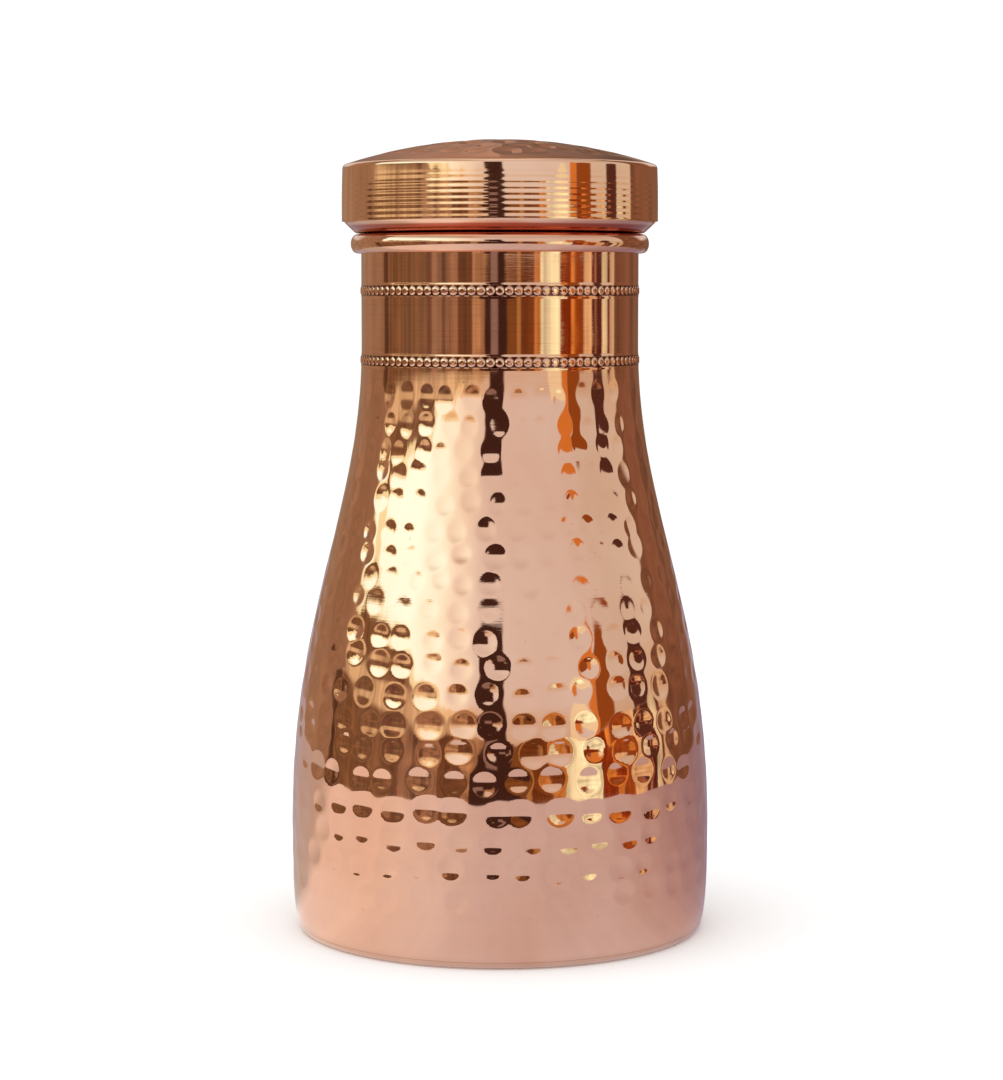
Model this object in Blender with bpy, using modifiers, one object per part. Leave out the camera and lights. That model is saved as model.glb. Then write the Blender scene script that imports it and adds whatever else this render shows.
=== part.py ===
"""Copper water bottle: a tapered body of thin sheet with a straight neck and a curled rim,
closed by a hollow domed lid whose plug pushes into the neck on a soft seal ring.

Every sheet piece is turned: an outline is drawn in the XZ plane and spun round Z. The bottle
stands on Z = 0 with its axis on Z. The lid's outlines are measured from the top of the rim.
"""

import math

import bpy

# Sheet thickness and the clearance between pieces, in metres like every length here.
SHEET = 0.0006
GAP = 0.0003

# Straight pieces round a full turn, and along each kind of curve in an outline.
STEPS = 48
CORNER_SEGMENTS = 3
WALL_SEGMENTS = 4
LOWER_TAPER_SEGMENTS = 6
UPPER_TAPER_SEGMENTS = 8
RIM_SEGMENTS = 10
DOME_SEGMENTS = 5
BULGE_SEGMENTS = 4
SEAL_FACETS = 8
MERGE_DISTANCE = 1e-6
SHARP_ANGLE = 35

# Foot: a small corner, then a wall that leans out to the widest part of the body.
BODY_R = 0.05265
BODY_Z = 0.0253
FOOT_R = 0.0512
FOOT_CORNER = 0.0016
FOOT_LEAN = 17
FOOT_PULL = 0.0032
WALL_PULL = 0.0155
REST_RING_WIDTH = 0.0045

# Taper: one long S from the widest part to the neck.
NECK_R = 0.0346
NECK_Z = 0.1472
TAPER_PULL_LOW = 0.0564
TAPER_PULL_HIGH = 0.0427

# Lap seam where the upper half of the body fits over the lower half.
SEAM_Z = 0.087
LAP = 0.004

# Base disc: a pan inside the foot, pushed up in the middle.
PAN_FLAT_R = 0.040
PAN_BULGE = 0.0022
PAN_EDGE = 0.35

# Rim: the neck's edge curled outward into an oval bead, stopping short of the neck.
RIM_R = 0.0372
RIM_Z = 0.1741
RIM_HEIGHT = 0.0047
RIM_END = -114

# Lid shell, from the top of the rim.
LID_R = 0.03937
LID_TOP_R = 0.0392
LID_BOTTOM = 0.0032
LID_CORNER = 0.0015
LID_APEX = 0.02345
DOME_R = 0.122

# Lid plug, from the top of the rim: a cup in the neck, a ledge over the rim, a cone, and an
# edge that laps inside the lid shell.
PLUG_R = 0.0335
PLUG_DEPTH = 0.0149
PLUG_CORNER = 0.0014
LEDGE_R = 0.0360
CONE_SLOPE = 43.5
LID_LAP = 0.0045

# Seal ring, and the groove that is rolled into the plug for it.
SEAL_R = 0.0327
SEAL_THICKNESS = 0.002
SEAL_DEPTH = 0.0089

# Colour, metallic and roughness.
HAMMERED_COPPER = ((0.83, 0.42, 0.27), 1.0, 0.16)
POLISHED_COPPER = ((0.85, 0.44, 0.28), 1.0, 0.12)
SILICONE = ((0.86, 0.85, 0.80), 0.0, 0.55)


def clear_scene():
    for item in list(bpy.data.objects):
        bpy.data.objects.remove(item)


def bezier(a, b, c, d, segments, start=0.0, end=1.0):
    """Points on a cubic Bezier curve between two of its parameters."""
    points = []
    for i in range(segments + 1):
        t = start + (end - start) * i / segments
        weights = ((1 - t) ** 3, 3 * t * (1 - t) ** 2, 3 * t**2 * (1 - t), t**3)
        r = sum(w * p[0] for w, p in zip(weights, (a, b, c, d)))
        z = sum(w * p[1] for w, p in zip(weights, (a, b, c, d)))
        points.append((r, z))
    return points


def arc(centre, radii, start, end, segments):
    """Points on an ellipse from one angle to another, in degrees."""
    points = []
    for i in range(segments + 1):
        angle = math.radians(start + (end - start) * i / segments)
        r = centre[0] + radii[0] * math.cos(angle)
        z = centre[1] + radii[1] * math.sin(angle)
        points.append((r, z))
    return points


def parallel(path, distance):
    """The path moved to its right by a distance, with mitred corners. An end on the axis stays
    on the axis."""
    normals = []
    for (r0, z0), (r1, z1) in zip(path, path[1:]):
        length = math.hypot(r1 - r0, z1 - z0)
        normals.append(((z1 - z0) / length, (r0 - r1) / length))
    moved = []
    for (r, z), before, after in zip(path, normals[:1] + normals, normals + normals[-1:]):
        nr, nz = (before[0] + after[0]) / 2, (before[1] + after[1]) / 2
        if r == 0:
            moved.append((0.0, z + distance / nz))
            continue
        stretch = distance / (nr**2 + nz**2)
        moved.append((r + nr * stretch, z + nz * stretch))
    return moved


def sheet(path, side):
    """The outline of a sheet with one face on the path and the other to its right (1) or left (-1)."""
    return path + parallel(path, side * SHEET)[::-1]


def foot(wall_end=1.0):
    """The outer face from the resting ring, round the corner and up the leaning wall, whose
    parameter is 1 at the widest part of the body."""
    centre = (FOOT_R - FOOT_CORNER, FOOT_CORNER)
    corner = arc(centre, (FOOT_CORNER, FOOT_CORNER), -90, -FOOT_LEAN, CORNER_SEGMENTS)
    lean = math.radians(FOOT_LEAN)
    low = corner[-1]
    pulled = (low[0] + FOOT_PULL * math.sin(lean), low[1] + FOOT_PULL * math.cos(lean))
    widest, widest_pull = (BODY_R, BODY_Z), (BODY_R, BODY_Z - WALL_PULL)
    wall = bezier(low, pulled, widest_pull, widest, WALL_SEGMENTS, end=wall_end)
    return corner + wall[1:]


def taper(segments, start, end):
    """The outer face of the taper between two of its parameters, 0 at the bottom and 1 at the neck."""
    low, high = (BODY_R, BODY_Z), (NECK_R, NECK_Z)
    low_pull = (BODY_R, BODY_Z + TAPER_PULL_LOW)
    high_pull = (NECK_R, NECK_Z - TAPER_PULL_HIGH)
    return bezier(low, low_pull, high_pull, high, segments, start, end)


def taper_at(height):
    """The taper's parameter at a height, by bisection."""
    low, high = 0.0, 1.0
    while high - low > 1e-9:
        middle = (low + high) / 2
        if taper(1, low, middle)[-1][1] < height:
            low = middle
        else:
            high = middle
    return low


def material(name, look):
    colour, metallic, roughness = look
    made = bpy.data.materials.new(name)
    made.use_nodes = True
    shader = made.node_tree.nodes["Principled BSDF"]
    shader.inputs["Base Color"].default_value = (*colour, 1)
    shader.inputs["Metallic"].default_value = metallic
    shader.inputs["Roughness"].default_value = roughness
    return made


def clockwise(outline):
    """The outline in the order that turns it into a solid with its faces outward."""
    sides = zip(outline, outline[1:] + outline[:1])
    area = sum(a[0] * b[1] - b[0] * a[1] for a, b in sides)
    return outline if area < 0 else outline[::-1]


def finish(item, look, collection):
    """Shades an object smooth with crisp edges, gives it its material and puts it in the collection."""
    item.data.shade_smooth()
    item.data.set_sharp_from_angle(angle=math.radians(SHARP_ANGLE))
    item.data.materials.append(material(item.name, look))
    for old in list(item.users_collection):
        old.objects.unlink(item)
    collection.objects.link(item)
    return item


def turned(name, outline, look, collection):
    """Spins an outline round Z. It either starts and ends on the axis, or is closed here."""
    points = clockwise(outline)
    edges = [(i, i + 1) for i in range(len(points) - 1)]
    if points[0][0] > 0:
        edges.append((len(points) - 1, 0))
    profile = bpy.data.meshes.new(name + "_outline")
    profile.from_pydata([(r, 0, z) for r, z in points], edges, [])
    item = bpy.data.objects.new(name, profile)
    collection.objects.link(item)

    screw = item.modifiers.new("turn", "SCREW")
    screw.axis = "Z"
    screw.angle = math.tau
    screw.steps = screw.render_steps = STEPS
    screw.use_merge_vertices = True
    screw.merge_threshold = MERGE_DISTANCE
    bpy.context.view_layer.update()
    graph = bpy.context.evaluated_depsgraph_get()
    item.data = bpy.data.meshes.new_from_object(item.evaluated_get(graph))
    item.modifiers.clear()
    item.data.name = name
    bpy.data.meshes.remove(profile)
    return finish(item, look, collection)


def build_lower_body(collection):
    """The lower half: resting ring, foot, and the taper up to a stepped-in edge for the lap seam."""
    seam = taper_at(SEAM_Z)
    outer = [(FOOT_R - FOOT_CORNER - REST_RING_WIDTH, 0)]
    outer += foot()
    outer += taper(LOWER_TAPER_SEGMENTS, 0, seam)[1:]
    outer += parallel(taper(1, seam, taper_at(SEAM_Z + LAP)), -SHEET - GAP)
    return turned("lower_body", sheet(outer, -1), HAMMERED_COPPER, collection)


def build_upper_body(collection):
    """The upper half: the rest of the taper, the neck, and the rim curled outward."""
    inner = parallel(taper(UPPER_TAPER_SEGMENTS, taper_at(SEAM_Z + GAP), 1), -SHEET)
    neck_inner_r = NECK_R - SHEET
    centre = ((RIM_R + neck_inner_r) / 2, RIM_Z - RIM_HEIGHT / 2)
    radii = ((RIM_R - neck_inner_r) / 2, RIM_HEIGHT / 2)
    inner += arc(centre, radii, 180, RIM_END, RIM_SEGMENTS)
    return turned("upper_body", sheet(inner, 1), HAMMERED_COPPER, collection)


def build_base_disc(collection):
    """The pan that closes the foot. Its edge follows the wall, one gap inside it."""
    under = parallel(foot(wall_end=PAN_EDGE), -SHEET - GAP)
    flat_z = under[0][1]
    top = flat_z + PAN_BULGE
    middle = PAN_FLAT_R / 2
    edge = (PAN_FLAT_R, flat_z)
    bulge = bezier((0, top), (middle, top), (middle, flat_z), edge, BULGE_SEGMENTS)
    return turned("base_disc", sheet(bulge + under, -1), POLISHED_COPPER, collection)


def build_lid_shell(lid, collection):
    """The visible lid: a shallow dome, a rounded shoulder and a skirt with a slight draft."""
    dome_z = LID_APEX - DOME_R
    corner_r = LID_TOP_R - LID_CORNER
    corner_z = dome_z + math.sqrt((DOME_R - LID_CORNER) ** 2 - corner_r**2)
    edge = math.degrees(math.atan2(corner_z - dome_z, corner_r))
    dome = arc((0, dome_z), (DOME_R, DOME_R), 90, edge, DOME_SEGMENTS)
    dome[0] = (0, LID_APEX)
    corner = arc((corner_r, corner_z), (LID_CORNER, LID_CORNER), edge, 0, CORNER_SEGMENTS)
    outer = dome + corner[1:] + [(LID_R, LID_BOTTOM)]
    shell = turned("lid_shell", sheet(outer, 1), POLISHED_COPPER, collection)
    shell.parent = lid
    return shell


def build_lid_plug(lid, collection):
    """The lower half of the lid: plug, seal groove, ledge, cone and lapped edge."""
    floor_z = -PLUG_DEPTH
    centre = (PLUG_R - PLUG_CORNER, floor_z + PLUG_CORNER)
    groove_r = SEAL_R - SEAL_THICKNESS / 2 - GAP
    groove_low = -SEAL_DEPTH - SEAL_THICKNESS / 2 - GAP
    groove_high = -SEAL_DEPTH + SEAL_THICKNESS / 2 + GAP
    cone_r = LID_R - SHEET - GAP
    cone_z = GAP + (cone_r - LEDGE_R) * math.tan(math.radians(CONE_SLOPE))
    outer = [(0, floor_z)]
    outer += arc(centre, (PLUG_CORNER, PLUG_CORNER), -90, 0, CORNER_SEGMENTS)
    outer += [(PLUG_R, groove_low), (groove_r, groove_low)]
    outer += [(groove_r, groove_high), (PLUG_R, groove_high)]
    outer += [(PLUG_R, GAP), (LEDGE_R, GAP)]
    outer += [(cone_r, cone_z), (cone_r, cone_z + LID_LAP)]
    plug = turned("lid_plug", sheet(outer, -1), POLISHED_COPPER, collection)
    plug.parent = lid
    return plug


def build_seal_ring(lid, collection):
    """The soft ring between the plug's groove and the inside of the neck."""
    bpy.ops.mesh.primitive_torus_add(
        major_segments=STEPS,
        minor_segments=SEAL_FACETS,
        major_radius=SEAL_R,
        minor_radius=SEAL_THICKNESS / 2,
        location=(0, 0, -SEAL_DEPTH),
    )
    ring = bpy.context.active_object
    ring.name = ring.data.name = "seal_ring"
    ring.parent = lid
    return finish(ring, SILICONE, collection)


def main():
    clear_scene()
    bottle = bpy.data.collections.new("copper_water_bottle")
    bpy.context.scene.collection.children.link(bottle)

    # The lid lifts and turns on the bottle's axis, from the top of the rim.
    lid = bpy.data.objects.new("lid", None)
    lid.location = (0, 0, RIM_Z)
    bottle.objects.link(lid)

    build_lower_body(bottle)
    build_upper_body(bottle)
    build_base_disc(bottle)
    build_lid_shell(lid, bottle)
    build_lid_plug(lid, bottle)
    build_seal_ring(lid, bottle)


main()
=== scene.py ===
"""Copper water bottle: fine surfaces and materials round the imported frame, in metres.

The bottle stands on Z = 0 with its axis on Z, and the camera looks along +Y. Every sheet piece is
skinned over rings of points that follow its outline out of one face and back along the other.
Angles round the bottle are measured from the front, -Y, and grow towards +X.
"""

import math

import bpy
import numpy as np
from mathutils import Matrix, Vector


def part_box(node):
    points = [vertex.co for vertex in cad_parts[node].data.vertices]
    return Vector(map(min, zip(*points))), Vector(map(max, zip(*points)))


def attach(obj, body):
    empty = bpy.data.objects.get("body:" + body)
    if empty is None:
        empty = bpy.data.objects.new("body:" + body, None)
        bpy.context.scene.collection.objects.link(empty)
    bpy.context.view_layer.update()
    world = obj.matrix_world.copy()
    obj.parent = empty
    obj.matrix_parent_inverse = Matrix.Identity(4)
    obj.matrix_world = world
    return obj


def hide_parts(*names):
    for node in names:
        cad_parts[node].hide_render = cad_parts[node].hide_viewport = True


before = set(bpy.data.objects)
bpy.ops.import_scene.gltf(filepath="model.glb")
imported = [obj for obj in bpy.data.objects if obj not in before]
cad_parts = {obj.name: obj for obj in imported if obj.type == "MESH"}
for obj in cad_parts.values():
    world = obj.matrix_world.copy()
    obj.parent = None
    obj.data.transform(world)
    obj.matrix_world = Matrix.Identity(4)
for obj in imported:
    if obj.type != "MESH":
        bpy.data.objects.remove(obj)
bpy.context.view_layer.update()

# Sizes that the frame holds.
BODY_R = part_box("lower_body")[1].x
RIM_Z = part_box("upper_body")[1].z
LID_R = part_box("lid_shell")[1].x
LID_TOP_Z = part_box("lid_shell")[1].z
LID_BOTTOM_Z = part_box("lid_shell")[0].z
PLUG_BOTTOM_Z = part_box("lid_plug")[0].z
SEAL_LOW_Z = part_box("seal_ring")[0].z
SEAL_HIGH_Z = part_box("seal_ring")[1].z
SEAM_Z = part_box("upper_body")[0].z

# Sheet, and the body's outline.
SHEET = 0.0006
JOINT_GAP = 0.00003
BODY_Z = 0.0253
FOOT_R = 0.0512
FOOT_CORNER = 0.0016
FOOT_LEAN = math.radians(17)
FOOT_PULL = 0.0032
WALL_PULL = 0.0155
REST_RING_WIDTH = 0.0045
NECK_R = 0.0346
NECK_Z = 0.1472
TAPER_PULL_LOW = 0.0564
TAPER_PULL_HIGH = 0.0427
RIM_R = 0.0372
RIM_HEIGHT = 0.0047
RIM_END = math.radians(-114)

# Lid: a shell with a domed top, and a plug with a seal groove, a ledge over the rim and a cone.
LID_TOP_R = 0.0392
LID_CORNER = 0.0011
DOME_R = 0.122
PLUG_R = 0.0335
PLUG_CORNER = 0.0014
LEDGE_R = 0.0360
LEDGE_Z = RIM_Z + 0.0003
CONE_SLOPE = math.radians(43.5)
LID_LAP = 0.0045
SEAL_R = 0.0327

# Points round a ring, and the distance between rings.
ROUND = 480
ROUND_FINE = 960
ROUND_COARSE = 240
WALL_STEP = 0.00062
NECK_STEP = 0.0022
BAND_STEP = 0.00025
INSIDE_STEP = 0.0018
INSIDE_LENGTH = 0.085
SKIRT_STEP = 0.00022
BASE_STEP = 0.0007
BASE_INSIDE_STEP = 0.0015
PLUG_STEP = 0.002
# Rings at the start and end of a part of the wall keep this far apart.
RING_GAP = 0.0003

# Hammered pits: rows from the neck down, whose spacing grows a little, and in each row one pit
# near the line that the hammering started from. The line is in degrees and sways from row to row.
PITS_IN_ROW = 39
PIT_ROW_COUNT = 19
PIT_TOP_Z = 0.1343
PIT_ROW_PITCH = 0.00598
PIT_ROW_GROWTH = 0.000031
PIT_LINE = -2.4
PIT_LINE_SWAY = 1.5
PIT_LINE_RATE = 2.1
PIT_SWAY = 0.0004
# A pit's half width is a share of the spacing in its row. Its edge is rounded, and a shallow dish
# lies round it.
PIT_FILL = 0.39
PIT_HALF_HEIGHT = 0.0030
PIT_DEPTH = 0.00020
PIT_EDGE = 0.045
PIT_DISH = 0.00004
PIT_DISH_SPREAD = 1.4
PIT_REACH = 2.2
# How much pits vary: round the bottle as a share of the spacing, up it in metres, and in size.
PIT_SHIFT_ROUND = 0.10
PIT_SHIFT_UP = 0.00045
PIT_HEIGHT_SPREAD = 0.08
PIT_WIDTH_SPREAD = 0.06
PIT_DEPTH_SPREAD = 0.15
# How deep the pits of a row are, against PIT_DEPTH, by height.
PIT_FADES = (
    (0.016, 1.12),
    (0.0238, 1.22),
    (0.0313, 0.96),
    (0.038, 1.13),
    (0.0442, 0.92),
    (0.0514, 1.05),
    (0.075, 1.1),
    (0.092, 0.92),
    (0.105, 0.70),
    (0.122, 0.58),
    (0.135, 0.42),
)
# The seam is dressed: pits lose this much depth there, with a soft edge.
DRESSED = 0.00007
DRESSED_HALF_HEIGHT = 0.008
DRESSED_EDGE = 0.00002

# Rolled bands on the neck: pearls between two raised lines.
BAND_HEIGHTS = (0.14305, 0.16015)
BAND_HALF_HEIGHT = 0.0017
PEARLS = 96
PEARL_R = 0.00113
PEARL_HEIGHT = 0.00024
PEARL_FLAT = 0.60
PEARL_HOLLOW = 0.00002
BAND_LINE = 0.00138
BAND_LINE_HEIGHT = 0.00007
BAND_LINE_WIDTH = 0.00016

# Base: flat near the foot, pushed up in the middle, with an edge that stands up inside the foot.
BASE_FLAT_R = 0.040
BASE_BULGE = 0.0022
BASE_EDGE = 0.0075
BASE_RING_PITCH = 0.0028
BASE_RING_HEIGHT = 0.00001

# Lid skirt: turning rings that fade out below the shoulder, over a slight barrel. They wander by
# waves, each a share of their height and a rate along the skirt.
SKIRT_RING_PITCH = 0.00141
SKIRT_RING_HEIGHT = 0.000012
SKIRT_PLAIN = 0.0012
SKIRT_FADE = 0.004
SKIRT_BARREL = 0.00008
SKIRT_WANDER = ((0.25, 900), (0.2, 2300), (0.16, 8100))

# Lid dome: one pit in the middle (half width, depth) and rings of pits round it.
DOME_MIDDLE_PIT = (0.0034, 0.00030)
DOME_RINGS = 5
DOME_RING_PITCH = 0.0062
DOME_PIT_SPACING = 0.0072
DOME_PIT_HALF = 0.0033
DOME_PIT_DEPTH = 0.00040
DOME_PIT_EDGE = 0.02
DOME_PIT_SHIFT = 0.0005

# Plug and seal: corners of the groove and the ledge, room round the seal, and the seal's lips.
PLUG_EDGE = 0.0004
GROOVE_ROOM = 0.0001
SEAL_LIP = 0.00008
SEAL_FLAT = 0.6
# The innermost ring round the axis.
AXIS_R = 0.0008

# Linear base colours of the pieces.
COPPER = (0.88, 0.50, 0.35)
POLISHED = (0.93, 0.56, 0.385)
INSIDE = (0.50, 0.22, 0.14)
SILICONE = (0.80, 0.78, 0.72)
# CREVICE_SHADE is painted shade for the gaps between the pearls of the neck's bands.
CREVICE_SHADE = (0.15, 0.045, 0.025)
HATCH = (0.50, 0.24, 0.15)
# CONE_FOOT_SHADE is painted shade for the foot of the lid's cone, just over the rim.
CONE_FOOT_SHADE = (0.47, 0.09, 0.045)

# Height and thickness of the fine line round the foot, the heights over the ledge between which
# the painted shade on the cone's foot ends, and how far below the neck its scratches start.
FOOT_LINE = (0.0014, 0.0001)
CONE_SHADE_ENDS = (0.0016, 0.0020)
NECK_SCRATCH_LEAD = 0.008
# Where the mask of faces that look inwards starts and ends.
INNER_FACING = (-0.012, -0.006)

# Depth of the turning scratches over the seam and round the neck.
SEAM_SCRATCHES = 0.000009
NECK_SCRATCHES = 0.0000025

random = np.random.default_rng(7)


def placed(name, data):
    """A new object of some data, in the scene."""
    item = bpy.data.objects.new(name, data)
    bpy.context.scene.collection.objects.link(item)
    return item


# ------------ outlines


def bezier(a, b, c, d, count=1500):
    """Points on a cubic Bezier curve, as an array of (r, z)."""
    t = np.linspace(0, 1, count)[:, None]
    a, b, c, d = (np.array(p) for p in (a, b, c, d))
    return (1 - t) ** 3 * a + 3 * t * (1 - t) ** 2 * b + 3 * t**2 * (1 - t) * c + t**3 * d


def arc(centre, radii, start, end, count=60):
    """Points on an ellipse from one angle to another, in radians."""
    t = np.linspace(start, end, count)
    return np.stack([centre[0] + radii[0] * np.cos(t), centre[1] + radii[1] * np.sin(t)], 1)


def joined(*paths):
    """Paths end to end, without the points that repeat."""
    points = np.concatenate([np.array(p, float).reshape(-1, 2) for p in paths])
    keep = np.append(True, np.linalg.norm(np.diff(points, axis=0), axis=1) > 1e-9)
    return points[keep]


def filleted(points, radius, count=4):
    """A path whose inner corners are rounded."""
    points = [np.array(p, float) for p in points]
    out = [points[0]]
    for before, corner, after in zip(points, points[1:], points[2:]):
        back, on = before - corner, after - corner
        reach = min(radius, np.linalg.norm(back) * 0.45, np.linalg.norm(on) * 0.45)
        p = corner + back / np.linalg.norm(back) * reach
        q = corner + on / np.linalg.norm(on) * reach
        for t in np.linspace(0, 1, count):
            out.append((1 - t) ** 2 * p + 2 * t * (1 - t) * corner + t**2 * q)
    out.append(points[-1])
    return np.array(out)


def lengths(path):
    """How far along a path each of its points is."""
    return np.append(0, np.cumsum(np.linalg.norm(np.diff(path, axis=0), axis=1)))


def along(path, distances):
    """Points of a path at distances along it, and the normals on the right of the way it runs."""
    s = lengths(path)
    points = np.stack([np.interp(distances, s, path[:, i]) for i in (0, 1)], 1)
    tangents = np.gradient(path, s, axis=0)
    t = np.stack([np.interp(distances, s, tangents[:, i]) for i in (0, 1)], 1)
    t /= np.linalg.norm(t, axis=1)[:, None]
    return points, np.stack([t[:, 1], -t[:, 0]], 1)


def spaced(path, step):
    """Distances along a path, evenly spaced, with both ends."""
    total = lengths(path)[-1]
    return np.linspace(0, total, max(2, round(total / step) + 1))


def inside(path, thickness=SHEET):
    """The path on the other face of the sheet, in the same direction."""
    points, normals = along(path, lengths(path))
    return points - normals * thickness


# ------------ skins


class Skin:
    """A closed surface over rings of points round Z. The outline runs anticlockwise in the XZ
    plane, and each ring has as many points as the one before it, twice as many or half."""

    def __init__(self):
        self.points = []
        self.faces = []
        self.rings = []
        self.total = 0

    def add(self, points):
        """Adds points and gives the number of the first."""
        self.points.append(points)
        first = self.total
        self.total += len(points)
        return first

    def ring(self, r, z, count):
        """Adds a ring. r and z are numbers, or arrays with a value for each angle."""
        angle = angles(count)
        r = np.broadcast_to(r, count)
        z = np.broadcast_to(z, count)
        first = self.add(np.stack([r * np.sin(angle), -r * np.cos(angle), z], 1))
        if self.rings:
            self.join(self.rings[-1], (first, count))
        self.rings.append((first, count))

    def rows(self, points, normals, count, lift=None):
        """Adds a ring for each point of an outline, moved along its normal by a row of lift."""
        for i, ((r, z), (nr, nz)) in enumerate(zip(points, normals)):
            d = 0 if lift is None else lift[i]
            self.ring(r + nr * d, z + nz * d, count)

    def path(self, path, step, count):
        """Adds rings along an outline, evenly spaced."""
        self.rows(*along(path, spaced(path, step)), count)

    def join(self, a, b):
        """Faces between two rings, each given as its first point and its number of points."""
        (a0, na), (b0, nb) = a, b
        i = np.arange(min(na, nb))
        if na == nb:
            j = (i + 1) % na
            self.faces += np.stack([a0 + i, a0 + j, b0 + j, b0 + i], 1).tolist()
        elif nb == 2 * na:
            j = (i + 1) % na
            left, middle, right = b0 + 2 * i, b0 + 2 * i + 1, b0 + 2 * j
            self.faces += np.stack([a0 + i, middle, left], 1).tolist()
            self.faces += np.stack([a0 + i, a0 + j, middle], 1).tolist()
            self.faces += np.stack([a0 + j, right, middle], 1).tolist()
        else:
            j = (i + 1) % nb
            left, middle, right = a0 + 2 * i, a0 + 2 * i + 1, a0 + 2 * j
            self.faces += np.stack([left, middle, b0 + i], 1).tolist()
            self.faces += np.stack([middle, b0 + j, b0 + i], 1).tolist()
            self.faces += np.stack([middle, right, b0 + j], 1).tolist()

    def pole(self, z):
        """Adds a point on the axis."""
        return self.add(np.array([[0, 0, z]]))

    def close_on_axis(self, z):
        """Closes the last ring onto a point on the axis."""
        centre = self.pole(z)
        first, count = self.rings[-1]
        self.faces += [[first + a, first + (a + 1) % count, centre] for a in range(count)]
        self.rings = []

    def fan(self, centre):
        """Joins a point on the axis to the first ring of the outline that starts there."""
        first, count = self.rings[0]
        self.faces += [[centre, first + (a + 1) % count, first + a] for a in range(count)]

    def close(self, first):
        """Joins the last ring to a ring that was added before."""
        self.join(self.rings[-1], first)

    def make(self, name, material, sharp):
        mesh = bpy.data.meshes.new(name)
        mesh.from_pydata(np.concatenate(self.points).tolist(), [], self.faces)
        mesh.shade_smooth()
        mesh.set_sharp_from_angle(angle=math.radians(sharp))
        mesh.materials.append(material)
        return placed(name, mesh)


def angles(count):
    """Angles from the front, for the points of a ring."""
    return np.arange(count) * math.tau / count


def turned_apart(a, b):
    """The angle from b to a, between minus and plus half a turn."""
    return (a - b + math.pi) % math.tau - math.pi


# ------------ the body's outline


def wall_outline():
    """The outer face from the resting ring up to the underside of the rim."""
    corner_r = FOOT_R - FOOT_CORNER
    rest = np.array([(corner_r - REST_RING_WIDTH, 0), (corner_r, 0)])
    corner = arc((corner_r, FOOT_CORNER), (FOOT_CORNER, FOOT_CORNER), -math.pi / 2, -FOOT_LEAN)
    low = corner[-1]
    pull = low + FOOT_PULL * np.array([math.sin(FOOT_LEAN), math.cos(FOOT_LEAN)])
    wide = (BODY_R, BODY_Z)
    wall = bezier(low, pull, (BODY_R, BODY_Z - WALL_PULL), wide)
    low_pull, high_pull = (BODY_R, BODY_Z + TAPER_PULL_LOW), (NECK_R, NECK_Z - TAPER_PULL_HIGH)
    taper = bezier(wide, low_pull, high_pull, (NECK_R, NECK_Z), 4000)
    neck = np.array([(NECK_R, NECK_Z), (NECK_R, RIM_Z - RIM_HEIGHT)])
    return rest, joined(corner, wall, taper, neck)


REST_RING, WALL = wall_outline()
WALL_LENGTHS = lengths(WALL)


def distance_at(z):
    """How far along the outer wall a height is."""
    return np.interp(z, WALL[:, 1], WALL_LENGTHS)


def radius_at(z):
    """Radius of the outer wall at a height."""
    return np.interp(z, WALL[:, 1], WALL[:, 0])


# ------------ hammering


def pit_list():
    """Every pit of the body: distance along the wall, angle, half height, half width, depth."""
    pits = []
    pitch = math.tau / PITS_IN_ROW
    for row in range(PIT_ROW_COUNT):
        height = PIT_TOP_Z - PIT_ROW_PITCH * row - PIT_ROW_GROWTH * row**2
        phase = PIT_LINE + PIT_LINE_SWAY * math.sin(PIT_LINE_RATE * row)
        sway = random.uniform(0, math.tau, 3)
        wide = PIT_FILL * pitch * radius_at(height)
        fade = np.interp(height, *zip(*PIT_FADES))
        for i in range(PITS_IN_ROW):
            jitter = np.clip(random.normal(0, 1, 5), -2, 2)
            turn = math.radians(phase) + pitch * (i + PIT_SHIFT_ROUND * jitter[2])
            wander = sum(np.sin(turn * k + sway[k - 1]) for k in (1, 2, 3)) - sum(np.sin(sway))
            at = distance_at(height) + PIT_SHIFT_UP * jitter[1] + PIT_SWAY * wander
            half_height = PIT_HALF_HEIGHT * (1 + PIT_HEIGHT_SPREAD * jitter[0])
            half_width = wide * (1 + PIT_WIDTH_SPREAD * jitter[0] + PIT_WIDTH_SPREAD * jitter[4])
            depth = PIT_DEPTH * fade * (1 + PIT_DEPTH_SPREAD * jitter[3])
            pits.append((at, turn, half_height, half_width, depth))
    return pits


def hammered(distances, count, pits):
    """Lift of the hammered wall, one row for each distance along the outline."""
    angle = angles(count)
    radii = np.interp(distances, WALL_LENGTHS, WALL[:, 0])
    pit = np.zeros((len(distances), count))
    dish = np.zeros((len(distances), count))
    for at, turn, half_height, half_width, depth in pits:
        rows = np.nonzero(np.abs(distances - at) < PIT_REACH * half_height)[0]
        if not len(rows):
            continue
        radius = radii[rows].mean()
        offset = turned_apart(angle, turn) * radius
        columns = np.nonzero(np.abs(offset) < PIT_REACH * half_width)[0]
        u = offset[columns][None, :] / half_width
        v = (distances[rows] - at)[:, None] / half_height
        inside_edge = 1 - u**2 - v**2
        rounded = np.sqrt(inside_edge**2 + PIT_EDGE**2)
        cup = -depth * 0.5 * (inside_edge + rounded)
        cup += depth * 0.25 * PIT_EDGE**2 / rounded
        window = np.ix_(rows, columns)
        pit[window] = np.minimum(pit[window], cup)
        spread = np.exp(-(u**2 + v**2) / PIT_DISH_SPREAD)
        dish[window] -= PIT_DISH * depth / PIT_DEPTH * spread
    seam_offset = (distances - distance_at(SEAM_Z)) / DRESSED_HALF_HEIGHT
    dressing = DRESSED * np.exp(-(seam_offset**2))[:, None]
    softened = pit + dressing
    dressed = 0.5 * (softened - np.sqrt(softened**2 + DRESSED_EDGE**2)) + DRESSED_EDGE / 2
    share = np.clip(dressing / DRESSED, 0, 1)
    return share * dressed + (1 - share) * pit + dish


# ------------ rolled bands


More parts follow.
